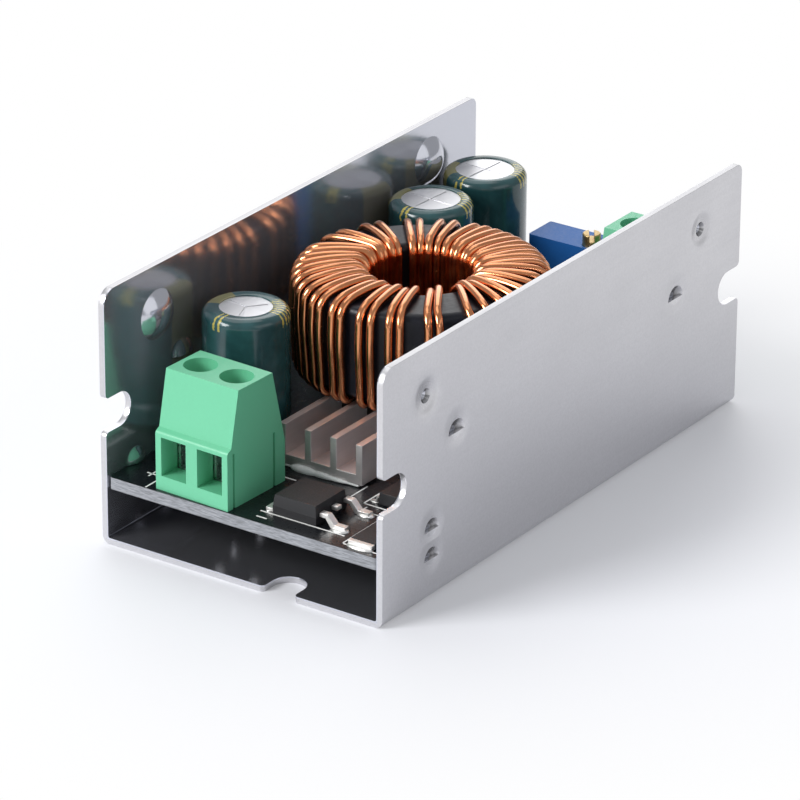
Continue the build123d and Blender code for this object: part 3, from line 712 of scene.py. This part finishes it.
def polar(tree, place, x, y, top):
    """Turn about a capacitor's axis, nought at its left, and height from its top."""
    centred = tree.nodes.new("ShaderNodeMapping")
    centred.inputs["Location"].default_value = (-x * MM, -y * MM, -top * MM)
    tree.links.new(place, centred.inputs["Vector"])
    parts = tree.nodes.new("ShaderNodeSeparateXYZ")
    tree.links.new(centred.outputs["Vector"], parts.inputs[0])
    behind = calculate(tree, "MULTIPLY", parts.outputs["Y"], -1)
    beside = calculate(tree, "MULTIPLY", parts.outputs["X"], -1)
    return calculate(tree, "ARCTAN2", behind, beside), parts.outputs["Z"]


def sleeve_material(base, band, gilt, x, y, top, stripe_angle):
    """Glossy film with an olive stripe down one side and plain gold dashes on the rim."""
    material, tree, shader, place = start_material("Sleeve_film", base, 0.0, 0.16)
    shader.inputs["Coat Weight"].default_value = 0.3
    shader.inputs["Coat Roughness"].default_value = 0.05
    turn, height = polar(tree, place, x, y, top)

    def near(angle, half):
        away = calculate(tree, "ABSOLUTE", calculate(tree, "SUBTRACT", turn, math.radians(angle)))
        return calculate(tree, "LESS_THAN", away, math.radians(half))

    film = noise(tree, place, 2.2, detail=2.0)
    ragged = noise(tree, place, 0.35, detail=2.0)
    tone = blend_colours(tree, spread(tree, film, 0, 1), shade(base, 0.8), shade(base, 1.3))
    tone = blend_colours(tree, near(stripe_angle, 27), tone, band)
    rim = calculate(tree, "GREATER_THAN", height, -1.5 * MM)
    beat = calculate(tree, "SINE", calculate(tree, "MULTIPLY", turn, 42))
    broken = calculate(tree, "ADD", beat, spread(tree, ragged, -0.9, 0.9))
    where = calculate(tree, "MAXIMUM", near(-150, 32), near(82, 9))
    printed = calculate(tree, "MULTIPLY", where, rim)
    dashes = calculate(tree, "GREATER_THAN", broken, 0.35)
    marks = calculate(tree, "MULTIPLY", printed, dashes)
    tree.links.new(blend_colours(tree, marks, tone, gilt), shader.inputs["Base Color"])
    tree.links.new(spread(tree, film, 0.16, 0.26), shader.inputs["Roughness"])
    roughen(tree, shader, film, 0.03)
    return material


def disc_material(x, y, top, sectors):
    """Bare can top, each sector between the scores given its own tone as a painted reflection of
    its brushing, over brushed grain.
    """
    material, tree, shader, place = start_material("Can_top", (0.7, 0.7, 0.7), 1.0, 0.36)
    turn, _ = polar(tree, place, x, y, top)
    # Painted reflection: each sector between the scores gets its own tone, as its brushing would
    # catch the light
    sector = calculate(tree, "FLOOR", calculate(tree, "MULTIPLY", turn, sectors / math.tau))
    tone = calculate(tree, "FRACT", calculate(tree, "MULTIPLY", sector, 0.382))
    brushed = noise(tree, place, 0.25, (1, 0.12, 1))
    sector_sheen = calculate(tree, "MULTIPLY", tone, 0.7)
    by_grain = calculate(tree, "MULTIPLY", brushed, 0.4)
    mixed = calculate(tree, "ADD", sector_sheen, by_grain)
    bright = blend_colours(tree, mixed, *CAN_TOP_GRAIN_AND_SHEEN)
    tree.links.new(bright, shader.inputs["Base Color"])
    tree.links.new(spread(tree, brushed, 0.3, 0.45), shader.inputs["Roughness"])
    roughen(tree, shader, brushed, 0.006)
    return material


def film_outline(radius, base, top, inset):
    """The sleeve from its foot to its top as (radius, height), moved inwards by inset."""
    outline = [(radius - inset - inwards, base + max(up, inset)) for inwards, up in SLEEVE_FOOT]
    reach = SLEEVE_CORNER - inset
    steps = 8
    for step in range(steps + 1):
        bend = math.radians(step * 90 / steps)
        place_out = radius - SLEEVE_CORNER + reach * math.cos(bend)
        outline.append((place_out, top - SLEEVE_CORNER + reach * math.sin(bend)))
    return outline


class CONVERTER_OT_capacitors(Step, bpy.types.Operator):
    """Turn the shrunk sleeves and dress the cans, seals and leads"""
    bl_idname = "converter.capacitors"
    bl_label = "Capacitors"

    def execute(self, context):
        colours = self.colours
        seal = grained("Seal_rubber", RUBBER, 0.0, 0.7, 0.4)
        tinned = grained("Capacitor_leads", colours.tin, 1.0, 0.3, 0.4)
        for key, (bare, sectors, stripe_angle) in CAPACITORS.items():
            sleeve = f"{key}_capacitor_sleeve"
            low, high = node_box(sleeve)
            x, y = (low.x + high.x) / 2, (low.y + high.y) / 2
            radius, base, top = (high.x - low.x) / 2, low.z, high.z
            section = film_outline(radius, base, top, 0)
            section += [(bare + outwards, top - down) for outwards, down in SLEEVE_RIM]
            section += film_outline(radius, base, top, FILM)[::-1]
            film = lathe(x, y, section, self.sizes.round_steps)
            smooth(film, SLEEVE_SMOOTH_EDGE)
            material = sleeve_material(
                colours.sleeve, colours.band, colours.gilt, x, y, top, stripe_angle
            )
            register_piece(film, f"{key}_sleeve", material, [sleeve])
            dress(f"{key}_capacitor_can", disc_material(x, y, top, sectors))
            dress(f"{key}_capacitor_seal", seal)
            dress(f"{key}_capacitor_leads", tinned)
        return {"FINISHED"}


def spaced(groups):
    """Every pass's angle."""
    return [start + step * pitch for start, count, pitch in groups for step in range(count)]


def add_strand(data, stops):
    """One smooth wire through its stops, each a place and a direction."""
    spline = data.splines.new("BEZIER")
    spline.bezier_points.add(len(stops) - 1)
    points = spline.bezier_points
    for point, (place, along) in zip(points, stops):
        point.handle_left_type = point.handle_right_type = "FREE"
        point.co = point.handle_left = point.handle_right = place
    for index in range(len(stops) - 1):
        (start, out), (end, on) = stops[index], stops[index + 1]
        turns = out.dot(on) < 0.5
        reach = (end - start).length * (0.39 if turns else 0.33)
        points[index].handle_right = start + out * reach
        points[index + 1].handle_left = end - on * reach


class CONVERTER_OT_coil(Step, bpy.types.Operator):
    """Wind the coil with two smooth wires and dress its core"""
    bl_idname = "converter.coil"
    bl_label = "Ring coil"

    def wire_stops(self, low, high, middle, first):
        """One of the two wires' places and directions round a core between two corners."""
        lead_end = node_box("circuit_board")[0].z - LEAD_DEPTH
        sizes = self.sizes
        radius, bulge = sizes.wire / 2 / MM, sizes.wire_bulge / MM
        outer_bend, inner_bend = sizes.outer_bend / MM, sizes.inner_bend / MM
        outside, floor, roof = (high.x - low.x) / 2 + radius, low.z - radius, high.z + radius
        rim = CORE_HOLE - radius - CROWDING[0] * first
        crest = roof + CROWDING[1] * first
        shoulder, tilt = outside + 0.75 * bulge, 0.12 * UP
        outer, inner = spaced(OUTER_GROUPS), spaced(INNER_GROUPS)

        def at(distance_out, angle, height):
            turn = math.radians(angle)
            out = Vector((distance_out * math.cos(turn), distance_out * math.sin(turn), height))
            return (middle + out) * MM

        stops = [(at(outside, outer[first], lead_end), UP)]
        for index in range(first, len(outer), 2):
            rising, falling = outer[index], inner[index]
            if index > first:
                stops.append((at(outside, rising, floor + LOW_BEND), UP))
            stops.append((at(outside + bulge, rising, roof - 2.1 * outer_bend), UP))
            stops.append((at(shoulder, rising, roof - outer_bend), UP))
            start = at(shoulder - outer_bend, rising, roof)
            end = at(rim + inner_bend, falling, crest)
            over = (end - start).normalized()
            stops.append((start, (over + tilt).normalized()))
            stops.append((end, (over - tilt).normalized()))
            stops.append((at(rim, falling, crest - inner_bend), DOWN))
            stops.append((at(rim, falling, floor + LOW_BEND), DOWN))
            last = index + 2 >= len(outer)
            leave = END_ANGLES[first] if last else outer[index + 2]
            start = at(rim + LOW_BEND, falling, floor)
            end = at(outside - LOW_BEND, leave, floor)
            under = (end - start).normalized()
            stops += [(start, under), (end, under)]
        stops.append((at(outside, END_ANGLES[first], floor - LOW_BEND), DOWN))
        stops.append((at(outside, END_ANGLES[first], lead_end), DOWN))
        return stops

    def execute(self, context):
        low, high = node_box("toroid_core")
        middle = Vector(((low.x + high.x) / 2, (low.y + high.y) / 2, 0))
        data = bpy.data.curves.new("coil_wire", "CURVE")
        data.dimensions = "3D"
        data.bevel_depth = self.sizes.wire / 2
        data.bevel_resolution = 3
        data.resolution_u = 7
        data.use_fill_caps = True
        for first in (0, 1):
            add_strand(data, self.wire_stops(low, high, middle, first))
        wires = bpy.data.objects.new("coil_wire", data)
        bpy.context.scene.collection.objects.link(wires)
        select_only(wires)
        bpy.ops.object.convert(target="MESH")
        wires = bpy.context.object
        bpy.ops.object.shade_smooth()
        copper = grained(
            "Enamelled_copper", self.colours.copper, 1.0, 0.2, 1.6, 0.12, 0.004, coat=0.4
        )
        register_piece(wires, "coil_wires", copper, ["coil_winding"])

        outer_centre = (high.x - low.x) / 2 - CORE_CORNER
        corners = (
            (outer_centre, low.z + CORE_CORNER, -90),
            (outer_centre, high.z - CORE_CORNER, 0),
            (CORE_HOLE + CORE_CORNER, high.z - CORE_CORNER, 90),
            (CORE_HOLE + CORE_CORNER, low.z + CORE_CORNER, 180),
        )
        section = []
        for x, z, start in corners:
            for turn in (math.radians(start + step * 15) for step in range(7)):
                section.append((x + CORE_CORNER * math.cos(turn), z + CORE_CORNER * math.sin(turn)))
        ring = lathe(middle.x, middle.y, section, 96)
        smooth(ring)
        coating = grained("Core_coating", self.colours.core, 0.0, 0.34, 0.5, 0.3, 0.02)
        set_shine(coating, 0.28)
        register_piece(ring, "ring_core", coating, ["toroid_core"])
        return {"FINISHED"}


def blob(place, size, segments=20):
    """Flattened ball, place and half sizes in millimetres."""
    clear_selection()
    bpy.ops.mesh.primitive_uv_sphere_add(
        segments=segments,
        ring_count=segments // 2,
        radius=MM,
        location=Vector(place) * MM,
        scale=size,
    )
    ball = bpy.context.object
    settle(ball)
    return ball


class CONVERTER_OT_heatsink(Step, bpy.types.Operator):
    """Round the fins and press out the white glue"""
    bl_idname = "converter.heatsink"
    bl_label = "Heatsink"

    def execute(self, context):
        drawn = grained(
            "Extruded_aluminium", DRAWN_ALUMINIUM, 0.8, 0.42, 0.3, 0.1, 0.01, (1, 0.05, 1)
        )
        small = self.sizes.small_edge
        rounded_node("heatsink", "heatsink_fins", small, drawn)
        low, high = node_box("thermal_glue")
        sink = node_box("heatsink")[0]
        front = sink.y - GLUE_LEDGE
        lobes = [box((low.x, front, low.z), (high.x, high.y, sink.z))]
        for x, *size in GLUE_LOBES:
            lobes.append(blob((x, front, low.z + LOBE_RISE), size, 24))
        bead = join(lobes)
        remesh = bead.modifiers.new("Melt", "REMESH")
        remesh.mode = "VOXEL"
        remesh.voxel_size = GLUE_VOXEL * MM
        bpy.ops.object.modifier_apply(modifier=remesh.name)
        bpy.ops.object.mode_set(mode="EDIT")
        bpy.ops.mesh.select_all(action="SELECT")
        bpy.ops.mesh.vertices_smooth(factor=0.5, repeat=4)
        bpy.ops.object.mode_set(mode="OBJECT")
        bpy.ops.object.shade_smooth()
        glue = grained("White_glue", self.colours.glue, 0.0, 0.4, 0.5, 0.06, 0.03)
        register_piece(bead, "glue_bead", glue, ["thermal_glue"])
        return {"FINISHED"}


class CONVERTER_OT_chips(Step, bpy.types.Operator):
    """Round the surface-mount parts and add their solder"""
    bl_idname = "converter.chips"
    bl_label = "Surface-mount parts"

    def execute(self, context):
        resin = grained("Moulded_resin", self.colours.resin, 0.0, 0.48, 0.18, 0.2, 0.008)
        tin = grained("Tinned_leads", self.colours.tin, 0.85, 0.38, 0.4, 0.08, 0.02)
        tan = grained("Ceramic", self.colours.tan, 0.0, 0.5, 0.3, 0.15, 0.01)
        edge = self.sizes.small_edge
        rounded_node("power_device_body", "power_device", 1.4 * edge, resin)
        rounded_node("power_device_leads", "power_leads", edge, tin)
        rounded_node("controller_body", "controller", edge, resin)
        dress("controller_leads", tin)
        rounded_node("sense_resistor_body", "sense_resistor", edge, resin)
        rounded_node("sense_resistor_ends", "sense_ends", 1.5 * edge, tin)
        rounded_node("chip_component_bodies", "chip_bodies", edge, tan)
        rounded_node("chip_component_ends", "chip_ends", edge, tin)
        top = node_box("circuit_board")[1].z
        spots = []
        low, high = node_box("controller_leads")
        middle = (low.y + high.y) / 2
        for x in (low.x + 0.3, high.x - 0.3):
            for step in range(-3, 4):
                spots.append(((x, middle + step * CONTROLLER_PITCH), CONTROLLER_SOLDER))
        low, high = node_box("power_device_leads")
        spots += [((high.x - 0.7, y), LEAD_SOLDER) for y in (low.y + 0.45, high.y - 0.45)]
        spots += [((low.x + 0.35, (low.y + high.y) / 2 - 0.4), TAB_SOLDER)]
        low, high = node_box("sense_resistor_ends")
        spots += [(((low.x + high.x) / 2, y), RESISTOR_SOLDER) for y in (low.y, high.y)]
        balls = [blob((x, y, top), size) for (x, y), size in spots]
        solder = join(balls)
        bpy.ops.object.shade_smooth()
        register_piece(solder, "board_solder", tin)
        return {"FINISHED"}


class CONVERTER_OT_trimmer(Step, bpy.types.Operator):
    """Round the trimmer's body and dress its brass screw"""
    bl_idname = "converter.trimmer"
    bl_label = "Trimmer"

    def execute(self, context):
        blue = grained("Trimmer_plastic", self.colours.blue, 0.0, 0.45, 0.3, 0.08, 0.006)
        set_shine(blue, 0.3)
        rounded_node("trimmer_body", "trimmer_case", self.sizes.moulded_edge, blue)
        brass = grained("Turned_brass", self.colours.brass, 1.0, 0.38, 0.3, 0.1, 0.01)
        small = self.sizes.small_edge
        rounded_node("trimmer_screw", "adjusting_screw", small, brass, "trimmer_screw")
        dress("trimmer_pins", grained("Trimmer_pins", self.colours.tin, 1.0, 0.3, 0.4))
        return {"FINISHED"}


class CONVERTER_OT_stage(Step, bpy.types.Operator):
    """Set the floor, the soft light and the camera"""
    bl_idname = "converter.stage"
    bl_label = "Stage"

    def execute(self, context):
        scene = bpy.context.scene
        clear_selection()
        bpy.ops.mesh.primitive_plane_add(size=4)
        floor = bpy.context.object
        floor.name = "floor"
        material, tree, shader, place = start_material("Floor", FLOOR_WHITE, 0.0, 0.6)
        output = tree.nodes["Material Output"]
        away = tree.nodes.new("ShaderNodeVectorMath")
        away.operation = "LENGTH"
        tree.links.new(place, away.inputs[0])
        far = spread(tree, away.outputs["Value"], *GLOW_STRENGTH, *GLOW_REACH)
        paths = tree.nodes.new("ShaderNodeLightPath")
        mirrored = calculate(tree, "MULTIPLY", paths.outputs["Is Glossy Ray"], MIRRORED_GLOW)
        seen = calculate(tree, "MAXIMUM", paths.outputs["Is Camera Ray"], mirrored)
        glow = tree.nodes.new("ShaderNodeEmission")
        glow.inputs["Color"].default_value = (1, 1, 1, 1)
        mix = tree.nodes.new("ShaderNodeMixShader")
        tree.links.new(calculate(tree, "MULTIPLY", far, seen), mix.inputs["Fac"])
        tree.links.new(shader.outputs[0], mix.inputs[1])
        tree.links.new(glow.outputs[0], mix.inputs[2])
        tree.links.new(mix.outputs[0], output.inputs["Surface"])
        floor.data.materials.append(material)

        world = bpy.data.worlds.new("Studio")
        scene.world = world
        world.use_nodes = True
        sky = world.node_tree
        background = sky.nodes["Background"]
        background.inputs["Color"].default_value = (*SKY_WHITE, 1)
        background.inputs["Strength"].default_value = SKY_STRENGTH

        for name, place, size, power in LAMPS:
            light = bpy.data.lights.new(f"{name}_softbox", "AREA")
            light.size = size
            light.energy = power
            lamp = bpy.data.objects.new(f"{name}_softbox", light)
            scene.collection.objects.link(lamp)
            lamp.location = place
            aim = Vector(LAMP_AIM) - Vector(place)
            lamp.rotation_euler = aim.to_track_quat("-Z", "Y").to_euler()

        azimuth, elevation, roll = (math.radians(value) for value in CAMERA_TURN)
        back = Vector((
            math.sin(azimuth) * math.cos(elevation),
            -math.cos(azimuth) * math.cos(elevation),
            math.sin(elevation),
        ))
        level = Vector((math.cos(azimuth), math.sin(azimuth), 0))
        raised = back.cross(level)
        right = level * math.cos(roll) + raised * math.sin(roll)
        up = raised * math.cos(roll) - level * math.sin(roll)
        sideways, upwards, backwards = CAMERA_PLACE
        offset = right * sideways + up * upwards + back * backwards
        eye = (offset + Vector((0, FRONT, 0))) * MM
        view = bpy.data.cameras.new("camera")
        view.lens = CAMERA_LENS
        view.sensor_width = 36
        camera = bpy.data.objects.new("camera", view)
        scene.collection.objects.link(camera)
        turn = Matrix((right, up, back)).transposed()
        camera.matrix_world = Matrix.Translation(eye) @ turn.to_4x4()
        scene.camera = camera
        scene.view_settings.view_transform = "Standard"
        return {"FINISHED"}


OPERATORS = (
    CONVERTER_OT_channel,
    CONVERTER_OT_board,
    CONVERTER_OT_terminals,
    CONVERTER_OT_capacitors,
    CONVERTER_OT_coil,
    CONVERTER_OT_heatsink,
    CONVERTER_OT_chips,
    CONVERTER_OT_trimmer,
    CONVERTER_OT_stage,
)


class CONVERTER_PT_panel(bpy.types.Panel):
    """Lists the steps that dress the converter"""
    bl_idname = "CONVERTER_PT_panel"
    bl_label = "Converter"
    bl_space_type = "VIEW_3D"
    bl_region_type = "UI"
    bl_category = "Converter"

    def draw(self, context):
        for operator in OPERATORS:
            self.layout.operator(operator.bl_idname)
        for group in (context.scene.converter_sizes, context.scene.converter_colours):
            for name in group.__annotations__:
                self.layout.prop(group, name)


CLASSES = (ConverterSizes, ConverterColours, *OPERATORS, CONVERTER_PT_panel)


def register():
    for item in CLASSES:
        bpy.utils.register_class(item)
    bpy.types.Scene.converter_sizes = PointerProperty(type=ConverterSizes)
    bpy.types.Scene.converter_colours = PointerProperty(type=ConverterColours)


def unregister():
    del bpy.types.Scene.converter_sizes
    del bpy.types.Scene.converter_colours
    for item in reversed(CLASSES):
        bpy.utils.unregister_class(item)


def main():
    register()
    for operator in OPERATORS:
        group, name = operator.bl_idname.split(".")
        getattr(getattr(bpy.ops, group), name)()
    clear_selection()


if __name__ == "__main__":
    main()
